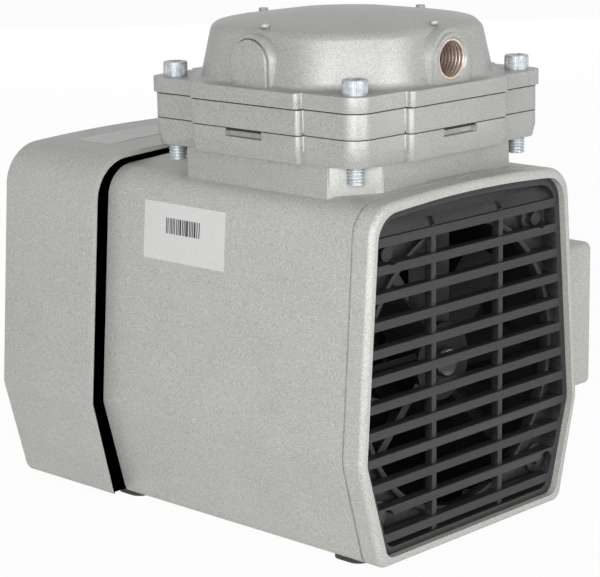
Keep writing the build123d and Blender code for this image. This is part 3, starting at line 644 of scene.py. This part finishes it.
# %% Copies with painted shade
def copy_with_painted_shade(node, name, cuts, is_dark):
    """Copy a node and give the faces that is_dark picks the near-black painted shade coat."""
    piece = cast_copy(node, name, 0.0)
    edit(piece)
    for cut_x in cuts:
        bpy.ops.mesh.select_all(action="SELECT")
        bpy.ops.mesh.bisect(plane_co=(cut_x * MM, 0, 0), plane_no=(1, 0, 0))
    bpy.ops.object.mode_set(mode="OBJECT")
    settle(piece, paint, "silver_paint", angle=30)
    piece.data.materials.append(painted_shade_coat)
    for face in piece.data.polygons:
        face.material_index = int(is_dark(face))
    return piece


def looks_inward(face):
    """True for a side face that looks towards the shaft's axis."""
    outward = face.normal.y * face.center.y + face.normal.z * (face.center.z - SHAFT_Z * MM)
    return abs(face.normal.x) < 0.5 and outward < 0


print("inner coat:", painted_shade_coat.name)

# %% Housing and shroud with painted shade
SHELL_FRONT, SHELL_COVERED = 62.0, -50.6
SHROUD_FRONT, SHROUD_SHADE_CUT, SHROUD_BACK = -49.9, -50.4, -97


def housing_is_dark(face):
    """Under the shroud, or on the inside of the shell."""
    inside = face.center.x < SHELL_FRONT * MM and looks_inward(face)
    return face.center.x < SHELL_COVERED * MM or inside


def shroud_is_dark(face):
    """On the inside of the shroud, but not on the edges of the slots in its back."""
    return face.center.x > SHROUD_BACK * MM and looks_inward(face)


# painted shade: faces under the shroud and inside the shell take the near-black coat
housing = copy_with_painted_shade("motor_housing", "housing_enamelled", (SHELL_COVERED, SHELL_FRONT),
                   housing_is_dark)
shroud = copy_with_painted_shade("rear_shroud", "shroud_enamelled", (SHROUD_SHADE_CUT,), shroud_is_dark)
for piece in (housing, shroud):
    print(piece.name, "dark faces:", sum(f.material_index for f in piece.data.polygons))

# %% [markdown]
# ## Painted shade on the shroud's rim
# A thin strip of painted shade runs along the inner side of the shroud's front rim, where it meets
# the housing. The rim's flat face is inset, and only the strip next to the dark inside turns
# black.

# %% Painted shade along the rim
def rim_painted_shade(piece, front_x, width_mm):
    """Painted shade along the inner side of the shroud's front rim."""
    mesh = bmesh.new()
    mesh.from_mesh(piece.data)
    near = (front_x - 0.3) * MM
    rim = [f for f in mesh.faces if f.normal.x > 0.9 and f.calc_center_median().x > near]
    for face in bmesh.ops.inset_region(mesh, faces=rim, thickness=width_mm * MM)["faces"] + rim:
        if any(n.material_index == 1 for e in face.edges for n in e.link_faces):
            face.material_index = 2
    for face in mesh.faces:
        face.material_index = min(face.material_index, 1)
    mesh.to_mesh(piece.data)
    mesh.free()


# painted shade: a near-black strip along the rim's inner side, next to the dark gap
rim_painted_shade(shroud, SHROUD_FRONT, 0.9)
print("shroud dark faces with the seal:", sum(f.material_index for f in shroud.data.polygons))

# %% [markdown]
# ## The cover flange
# The cover is one casting with two characters: a flat flange with crisp sides and a swelling dome.
# The flange is the engineering cover cut off just above its top face, with its edges rounded, so
# the screw holes stay true while the dome is drawn anew.

# %% Cover flange
FLANGE_CUT_Z = 150.03
flange = cast_copy("head_cover", "cover_flange", 0.0)
edit(flange)
bpy.ops.mesh.bisect(plane_co=(0, 0, FLANGE_CUT_Z * MM), plane_no=(0, 0, 1), clear_outer=True)
bpy.ops.object.mode_set(mode="OBJECT")
round_uprights(flange)
bevel(flange, 0.6, 3)
print("cover flange:", len(flange.data.polygons), "faces")

# %% [markdown]
# ## The dome
# The dome is an eight-sided block with wide soft corners and a crown that rises a few
# millimetres. A tall eight-sided cylinder is drawn in at the top for draft, its uprights are
# bevelled wide, its rim is bevelled again, and the top is inset ring by ring up onto a sphere. A
# plain round dome would lose the flat sides that carry the bosses.

# %% Outline of the dome
BASE_FLAT, BASE_DIAGONAL = 43.6, 47.6
TOP_FLAT, TOP_DIAGONAL = 40.8, 44.2
FOOT_Z, RIM_Z, CROWN_Z, CROWN_R = 152.4, 168.3, 171.4, 240.0


def octagon(flat, diagonal):
    """Corners of an octagon, from its half width across the flats and across the diagonals."""
    short = diagonal * math.sqrt(2) - flat
    ring = [(flat, -short), (flat, short), (short, flat), (-short, flat),
            (-flat, short), (-flat, -short), (-short, -flat), (short, -flat)]
    return sorted(ring, key=lambda p: math.atan2(p[1], p[0]) % math.tau)


def octagon_places(mesh, ring, height, high):
    """Where the upper or the lower corners of an eight-sided cylinder go, on an octagon."""
    places = {}
    for vert in [v for v in mesh.verts if (v.co.z > 0) == high]:
        x, y = ring[round(math.atan2(vert.co.y, vert.co.x) / (math.pi / 4)) % 8]
        places[vert] = Vector(((HEAD_X + x) * MM, y * MM, height * MM))
    return places


print("foot of the dome:", [round(x, 1) for x, _ in octagon(BASE_FLAT, BASE_DIAGONAL)])

# %% Eight-sided block
deselect()
bpy.ops.mesh.primitive_cylinder_add(vertices=8, radius=0.04, depth=0.02, end_fill_type="NGON")
dome = bpy.context.object
mesh = bmesh.new()
mesh.from_mesh(dome.data)
places = octagon_places(mesh, octagon(BASE_FLAT, BASE_DIAGONAL), FOOT_Z, False)
places.update(octagon_places(mesh, octagon(TOP_FLAT, TOP_DIAGONAL), RIM_Z, True))
for vert, place in places.items():
    vert.co = place
print("corners placed:", len(places))

# %% Soft uprights and rim
UPRIGHT_WIDTH, RIM_WIDTH = 8, 2.8
uprights = [e for e in mesh.edges if abs(e.verts[0].co.z - e.verts[1].co.z) > MM]
bmesh.ops.bevel(mesh, geom=uprights, offset=UPRIGHT_WIDTH * MM, segments=8, profile=0.5,
                affect="EDGES")
rim = [e for e in mesh.edges if all(v.co.z > (RIM_Z - 0.1) * MM for v in e.verts)
       and any(abs(f.normal.z) < 0.9 for f in e.link_faces)]
bmesh.ops.bevel(mesh, geom=rim, offset=RIM_WIDTH * MM, segments=6, profile=0.5, affect="EDGES")
print("faces after rounding:", len(mesh.faces))

# %% Crown
RING_SHARES, BLEND_HEIGHT = (0.88, 0.86, 0.83, 0.8, 0.75, 0.66, 0.5), 5
top = max(mesh.faces, key=lambda f: f.calc_center_median().z)
centre = Vector((HEAD_X * MM, 0, top.calc_center_median().z))
for share in RING_SHARES:
    top = bmesh.ops.extrude_discrete_faces(mesh, faces=[top])["faces"][0]
    for vert in top.verts:
        vert.co = centre + (vert.co - centre) * share
for vert in mesh.verts:
    x, y = vert.co.x / MM - HEAD_X, vert.co.y / MM
    lift = math.sqrt(max(CROWN_R ** 2 - x * x - y * y, 0)) - CROWN_R + CROWN_Z
    if vert.co.z > (RIM_Z - BLEND_HEIGHT) * MM:
        share = (vert.co.z / MM - (RIM_Z - BLEND_HEIGHT)) / BLEND_HEIGHT
        vert.co.z = (vert.co.z / MM + share * (lift - RIM_Z)) * MM
print("crown at", round(max(v.co.z for v in mesh.verts) / MM, 2), "mm")

# %% Cove round the foot
# here the dome flows into the flange
COVE = ((151.2, 1.006), (150.5, 1.014), (150.12, 1.024), (149.9, 1.03))
under = min(mesh.faces, key=lambda f: f.calc_center_median().z)
loop = list(under.edges)
bmesh.ops.delete(mesh, geom=[under], context="FACES_ONLY")
for height, share in COVE:
    grown = bmesh.ops.extrude_edge_only(mesh, edges=loop)["geom"]
    for vert in [g for g in grown if isinstance(g, bmesh.types.BMVert)]:
        draw_in(vert, share)
        vert.co.z = height * MM
    loop = [g for g in grown if isinstance(g, bmesh.types.BMEdge)]
bmesh.ops.contextual_create(mesh, geom=loop)
bmesh.ops.recalc_face_normals(mesh, faces=mesh.faces)
mesh.to_mesh(dome.data)
mesh.free()
dome.name = "dome"
print("dome faces:", len(dome.data.polygons))

# %% [markdown]
# ## Port bosses and blank bosses
# Four bosses stand on the dome's flat sides. Those along the shaft are round and tapped for a
# hose fitting. The other two are left blank, as arched pads, for a different build of pump. All
# four come from one arch, a round bar on a block, that is turned about the head.

# %% Points turned about the head
PORT_Z, PAD_FOOT = 157.5, 149
ROOT, ROOT_DRAFT = 38.0, 0.2
BORE_R, MOUTH_IN, MOUTH_OUT = 6.2, 5.9, 7.0


def turned(angle, x, y, z):
    """A point given on the +X side, turned about the head's upright axis, in millimetres."""
    c, s = math.cos(math.radians(angle)), math.sin(math.radians(angle))
    return (HEAD_X + x * c - y * s, x * s + y * c, z)


def metres(point):
    """A point in millimetres as a vector in metres."""
    return Vector([v * MM for v in point])


def facing(angle):
    """Turn for a round bar that points away from the head's upright axis."""
    return (0, math.pi / 2, math.radians(angle))


print("port on the far side:", [round(v, 1) for v in turned(180, BORE_R, 0, PORT_Z)])

# %% One arch, and its bore
def arch(angle, half, face, root=ROOT):
    """Arched pad: half a cylinder on a block, from inside the dome to its flat face."""
    middle, length = (face + root) / 2, face - root
    pad = rod_piece(half, length, turned(angle, middle, 0, PORT_Z), facing(angle))
    low = turned(angle, middle, 0, (PORT_Z + PAD_FOOT) / 2)
    block_size = (length, 2 * half, PORT_Z - PAD_FOOT)
    combine(pad, box_piece(block_size, low, (0, 0, math.radians(angle))))
    # draft: the root, inside the dome, is wider than the face
    along = metres(turned(angle, 1, 0, 0)) - metres(turned(angle, 0, 0, 0))
    for vert in pad.data.vertices:
        rel = vert.co - metres(turned(angle, 0, 0, PORT_Z))
        if rel.dot(along) / MM ** 2 < ROOT + 0.5:
            side = rel - along * (rel.dot(along) / along.length_squared)
            vert.co += Vector((side.x, side.y, 0)) * ROOT_DRAFT
    return pad


def bore(pad, angle, face):
    """Drill a port boss, and widen the mouth of the hole."""
    combine(pad, rod_piece(BORE_R, 40, turned(angle, 45, 0, PORT_Z), facing(angle)), "DIFFERENCE")
    bpy.ops.mesh.primitive_cone_add(vertices=48, radius1=MOUTH_IN * MM, radius2=MOUTH_OUT * MM,
                                    depth=1.6 * MM, rotation=facing(angle),
                                    location=metres(turned(angle, face - 0.7, 0, PORT_Z)))
    combine(pad, apply_place(bpy.context.object), "DIFFERENCE")


print("port height:", PORT_Z, "mm, bore radius:", BORE_R, "mm")

# %% Four bosses
# each boss is two arches, a wide one and a smaller one that stands a little prouder
WIDE_FACE, PROUD_FACE, LEDGE, GROOVE = 45.1, 45.9, 1.4, 0.45
bosses = []
for angle, half, bored in ((0, 8.4, True), (180, 8.4, True), (90, 7.3, False), (270, 7.3, False)):
    outer = arch(angle, half + LEDGE, WIDE_FACE)
    if bored:
        bore(outer, angle, WIDE_FACE)
    else:
        # a fine groove parts the two arches of a blank boss
        combine(outer, arch(angle, half + GROOVE, 46.5, 44.0), "DIFFERENCE")
    inner = arch(angle, half, PROUD_FACE)
    if bored:
        bore(inner, angle, PROUD_FACE)
    bosses += [outer, inner]
for pad in bosses:
    bevel(pad, 0.5, 3)
print("boss arches:", len(bosses))

# %% Passages and nubs
# the port passages are bored through the dome wall as well, and a small nub stands over each boss
NUB_R, NUB_HIGH, NUB_OUT, NUB_Z = 1.6, 1.4, 38.0, 168.6
for angle in (0, 180):
    combine(dome, rod_piece(BORE_R, 30, turned(angle, 42, 0, PORT_Z), facing(angle)), "DIFFERENCE")
nubs = []
for angle in QUARTERS:
    nub = rod_piece(NUB_R, NUB_HIGH, turned(angle, NUB_OUT, 0, NUB_Z), (0, 0, 0), 16)
    nubs.append(bevel(nub, 0.3, 2))
cover = join("head_cover_cast", [flange, dome] + bosses + nubs)
settle(cover, cast, "cast_aluminium", angle=40)
print("cover faces:", len(cover.data.polygons))

# %% [markdown]
# ## Screw threads
# A thread reads as a stack of fine ridges. Each head screw shows a few turns below the flange, and
# the tapped ports show them just inside the mouth. A thin torus per turn is enough at this size.

# %% A stack of rings
def ridges(name, centre, axis, radius, pitch, turns, depth):
    """A stack of rings along an axis, one for each turn of a thread, in millimetres."""
    rings = []
    turn = ALONG_X if axis == "X" else (0, 0, 0)
    for i in range(turns):
        x, y, z = centre
        place = (x + i * pitch, y, z) if axis == "X" else (x, y, z + i * pitch)
        deselect()
        bpy.ops.mesh.primitive_torus_add(major_radius=radius * MM, minor_radius=depth * MM,
                                         major_segments=32, minor_segments=6,
                                         location=[v * MM for v in place], rotation=turn)
        rings.append(bpy.context.object)
    return join(name, rings)


print("thread helper:", ridges.__name__)

# %% Threads of the head screws
SCREW_OUT, SCREW_R, SCREW_PITCH, SCREW_THREAD_Z = 40, 2.5, 1.06, 122.4
for n, (sx, sy) in enumerate(CORNERS):
    start = (HEAD_X + sx * SCREW_OUT, sy * SCREW_OUT, SCREW_THREAD_Z)
    thread = ridges(f"screw_thread_{n}", start, "Z", SCREW_R, SCREW_PITCH, 6, 0.38)
    settle(thread, zinc, "zinc_steel", angle=60)
    print(thread.name, len(thread.data.polygons), "faces")

# %% Threads of the ports
# the rear stack starts near its mouth, the front one at its inner end; a disc painted near black
# as painted shade ends each port
THREAD_START = {"front": 36.3, "rear": -44.8}
PORT_THREAD_R, PORT_PITCH, END_WALL_OUT, END_WALL_R = 6.15, 1.41, 34.6, 6.5
for side, name in ((1, "front"), (-1, "rear")):
    start = (HEAD_X + THREAD_START[name], 0, PORT_Z)
    thread = ridges(name + "_port_thread", start, "X", PORT_THREAD_R, PORT_PITCH, 7, 0.55)
    settle(thread, tapped, "cast_aluminium", angle=60)
    # painted shade: a near-black disc stands for the dark depth of each port
    wall = rod_piece(END_WALL_R, 1.2, (HEAD_X + side * END_WALL_OUT, 0, PORT_Z), ALONG_X)
    bevel(wall, 0.3, 2)
    wall.name = name + "_port_end_wall"
    settle(wall, painted_shade_coat, "cast_aluminium")
    print(thread.name, "and", wall.name)

# %% [markdown]
# ## Knurled screw heads
# Socket cap screws have straight knurling round the head, rolled in for grip. One fine rib is
# made and repeated round each head. A bump pattern would leave the outline smooth.

# %% Knurled heads
RIBS, KNURL_R, KNURL_Z, RIB = 36, 3.86, 152.3, (0.22, 0.22, 3.3)
knurl = []
for sx, sy in CORNERS:
    for i in range(RIBS):
        a = math.tau * i / RIBS
        place = (HEAD_X + sx * SCREW_OUT + KNURL_R * math.cos(a),
                 sy * SCREW_OUT + KNURL_R * math.sin(a), KNURL_Z)
        knurl.append(box_piece(RIB, place, (0, 0, a + math.pi / 4)))
settle(join("screw_head_knurls", knurl), zinc, "zinc_steel", angle=20)
print("ribs:", len(knurl))

# %% [markdown]
# ## Sticker on the long side
# A white film sticker lies on the housing's long side, with a plain bar pattern and no words. It
# is a thin plate leaned to the slope of the side, and each bar is a thinner plate on top of it.

# %% Places on the sloped side
SLOPE_IN, SLOPE_UP, CREASE_Y, CREASE_Z = 6.5, 80.4, -55.8, 37
SIDE_TILT = math.atan2(SLOPE_IN, SLOPE_UP)


def on_side(x, up, out):
    """A point on the sloped side: X, height up the slope from the crease, distance outward."""
    return (x, CREASE_Y + up * math.sin(SIDE_TILT) - out * math.cos(SIDE_TILT),
            CREASE_Z + up * math.cos(SIDE_TILT) + out * math.sin(SIDE_TILT))


def side_plate(name, x, up, wide, high, thick, out):
    """A thin upright plate that lies on the sloped side."""
    plate = box_piece((wide, thick, high), on_side(x, up, out), (-SIDE_TILT, 0, 0))
    plate.name = name
    return plate


print("side leans in by", round(math.degrees(SIDE_TILT), 2), "degrees")

# %% Side sticker
LABEL_X, LABEL_UP, LABEL_WIDE, LABEL_HIGH = -12.2, 62.7, 38.2, 19.4
label = side_plate("side_sticker", LABEL_X, LABEL_UP, LABEL_WIDE, LABEL_HIGH, 0.14, 0.09)
settle(label, paper, "silver_paint")
print("label:", LABEL_WIDE, "by", LABEL_HIGH, "mm")

# %% Bars on the side sticker
BARS_FROM, BARS_TO, BARS_UP, BAR_HIGH = -20.5, -4.5, 64.9, 5.2
bars = []
random.seed(4)
x = BARS_FROM
while x < BARS_TO:
    wide = random.choice((0.4, 0.4, 0.8))
    bars.append(side_plate("bar", x, BARS_UP, wide, BAR_HIGH, 0.05, 0.17))
    x += wide + random.choice((0.32, 0.32, 0.6))
settle(join("side_sticker_bars", bars), ink, "silver_paint")
print("bars:", len(bars))

# %% [markdown]
# ## Sticker on the shroud
# The second sticker lies across the top of the shroud. It is a fine grid that is bent to the
# shroud's crown and then given the thickness of the film.

# %% Shroud sticker
SHROUD_CROWN_Z, SHROUD_CROWN_R = 123.2, 706.0
FILM_X, FILM_Y, FILM_LONG, FILM_WIDE = -74, -17, 17, 36
deselect()
bpy.ops.mesh.primitive_grid_add(x_subdivisions=8, y_subdivisions=20, size=1,
                                location=(FILM_X * MM, FILM_Y * MM, 0))
bpy.context.object.scale = (FILM_LONG * MM, FILM_WIDE * MM, 1)
film = apply_place(bpy.context.object)
for vert in film.data.vertices:
    sag = (vert.co.y / MM) ** 2 / (2 * SHROUD_CROWN_R)
    vert.co.z = (SHROUD_CROWN_Z + 0.08 - sag) * MM
solid = film.modifiers.new("film", "SOLIDIFY")
solid.thickness, solid.offset = 0.12 * MM, 0.0
bpy.ops.object.modifier_apply(modifier=solid.name)
film.name = "shroud_sticker"
settle(film, paper, "silver_paint")
print("shroud sticker:", len(film.data.polygons), "faces")

# %% [markdown]
# ## Floor and surround
# Plain and pale: a white floor and a soft bright surround. Both look white to the eye and in
# reflections, but give the object only a little light, so that the lamps shape it. A small sum of
# ray kinds makes that split, for the floor and for the surround alike.

# %% What each ray sees
def seen_rays(tree):
    """1 for the eye and for what metal or glass shows; 0 for light on the object."""
    path = tree.nodes.new("ShaderNodeLightPath")
    shown = path.outputs["Is Camera Ray"]
    for ray in ("Is Glossy Ray", "Is Transmission Ray"):
        either = tree.nodes.new("ShaderNodeMath")
        either.operation = "MAXIMUM"
        tree.links.new(shown, either.inputs[0])
        tree.links.new(path.outputs[ray], either.inputs[1])
        shown = either.outputs[0]
    return shown


print("split of the rays:", seen_rays.__name__)

# %% White floor
FLOOR_GLOW = 0.96
deselect()
bpy.ops.mesh.primitive_plane_add(size=8, location=(0, 0, -0.2 * MM))
floor = bpy.context.object
floor.name = "floor"
floor_material, floor_shader = finish("white_floor", "F4F4F4", 0.0, 0.9)
tree = floor_material.node_tree
glow = add_node(floor_material, "ShaderNodeEmission", Color=(1, 1, 1, 1), Strength=1.0)
share = add_node(floor_material, "ShaderNodeMath", {"operation": "MULTIPLY"},
                 i0=seen_rays(tree), i1=FLOOR_GLOW)
blend = add_node(floor_material, "ShaderNodeMixShader", i0=share.outputs[0],
                 i1=floor_shader.outputs[0], i2=glow.outputs[0])
tree.links.new(blend.outputs[0], tree.nodes["Material Output"].inputs["Surface"])
floor.data.materials.append(floor_material)
print("floor:", tuple(round(v, 3) for v in floor.dimensions))

# %% Surround
LIT_LEVEL, SEEN_LEVEL = 0.24, 1.0
world = bpy.data.worlds.new("studio")
bpy.context.scene.world = world
world.use_nodes = True
sky = world.node_tree.nodes["Background"]
level = world.node_tree.nodes.new("ShaderNodeMapRange")
level.inputs["To Min"].default_value = LIT_LEVEL
level.inputs["To Max"].default_value = SEEN_LEVEL
world.node_tree.links.new(seen_rays(world.node_tree), level.inputs["Value"])
world.node_tree.links.new(level.outputs["Result"], sky.inputs["Strength"])
sky.inputs["Color"].default_value = (1, 1, 1, 1)
print("surround lights the object at", LIT_LEVEL, "and is seen at", SEEN_LEVEL)

# %% [markdown]
# ## Lamps
# Three square lamps, as a product table has them: one on the long side, one on the grille, and a
# rear fill. The first two differ in strength, so that the slopes of the housing separate. The rear
# fill only lifts the shaded sides. It is left out of reflections, as the tops would glare.

# %% Three lamps
AIM = (0, 0, 0.08)


def lamp(name, place, size, power):
    """A square lamp in metres and watts, turned to the middle of the pump."""
    light = bpy.data.lights.new(name, "AREA")
    light.shape, light.size, light.energy = "SQUARE", size, power
    holder = bpy.data.objects.new(name, light)
    bpy.context.collection.objects.link(holder)
    turn = (Vector(AIM) - Vector(place)).to_track_quat("-Z", "Y").to_matrix().to_4x4()
    holder.matrix_world = Matrix.Translation(place) @ turn
    return holder


lamp("key_front", (0.6, -0.95, 0.24), 0.8, 11.2)
lamp("key_grille", (1.4, -0.1, 0.25), 1.0, 14.0)
fill = lamp("fill_rear", (-1.15, 1.15, 0.15), 1.0, 12.0)
fill.visible_glossy = False
print("lamps:", len(bpy.data.lights))

# %% [markdown]
# ## Camera
# A long lens at about the eye height of a bench keeps the uprights almost parallel. Its place is
# given by the eye and by three unit vectors: right, up, and back from the object.

# %% Long lens
SENSOR_MM, LENS_MM = 36.0, 127.4
camera = bpy.data.objects.new("camera", bpy.data.cameras.new("camera"))
bpy.context.collection.objects.link(camera)
camera.data.sensor_width, camera.data.lens = SENSOR_MM, LENS_MM
camera.data.clip_start = 0.01
right, up = (0.72473, 0.68884, -0.01633), (-0.14229, 0.17281, 0.97462)
back, eye = (0.67418, -0.70401, 0.22325), (0.4884, -0.5188, 0.2375)
camera.matrix_world = Matrix([*zip(right, up, back, eye), (0, 0, 0, 1)])
bpy.context.scene.camera = camera
bpy.context.scene.view_settings.view_transform = "Standard"
print("camera distance:", round(Vector(eye).length, 3), "m")
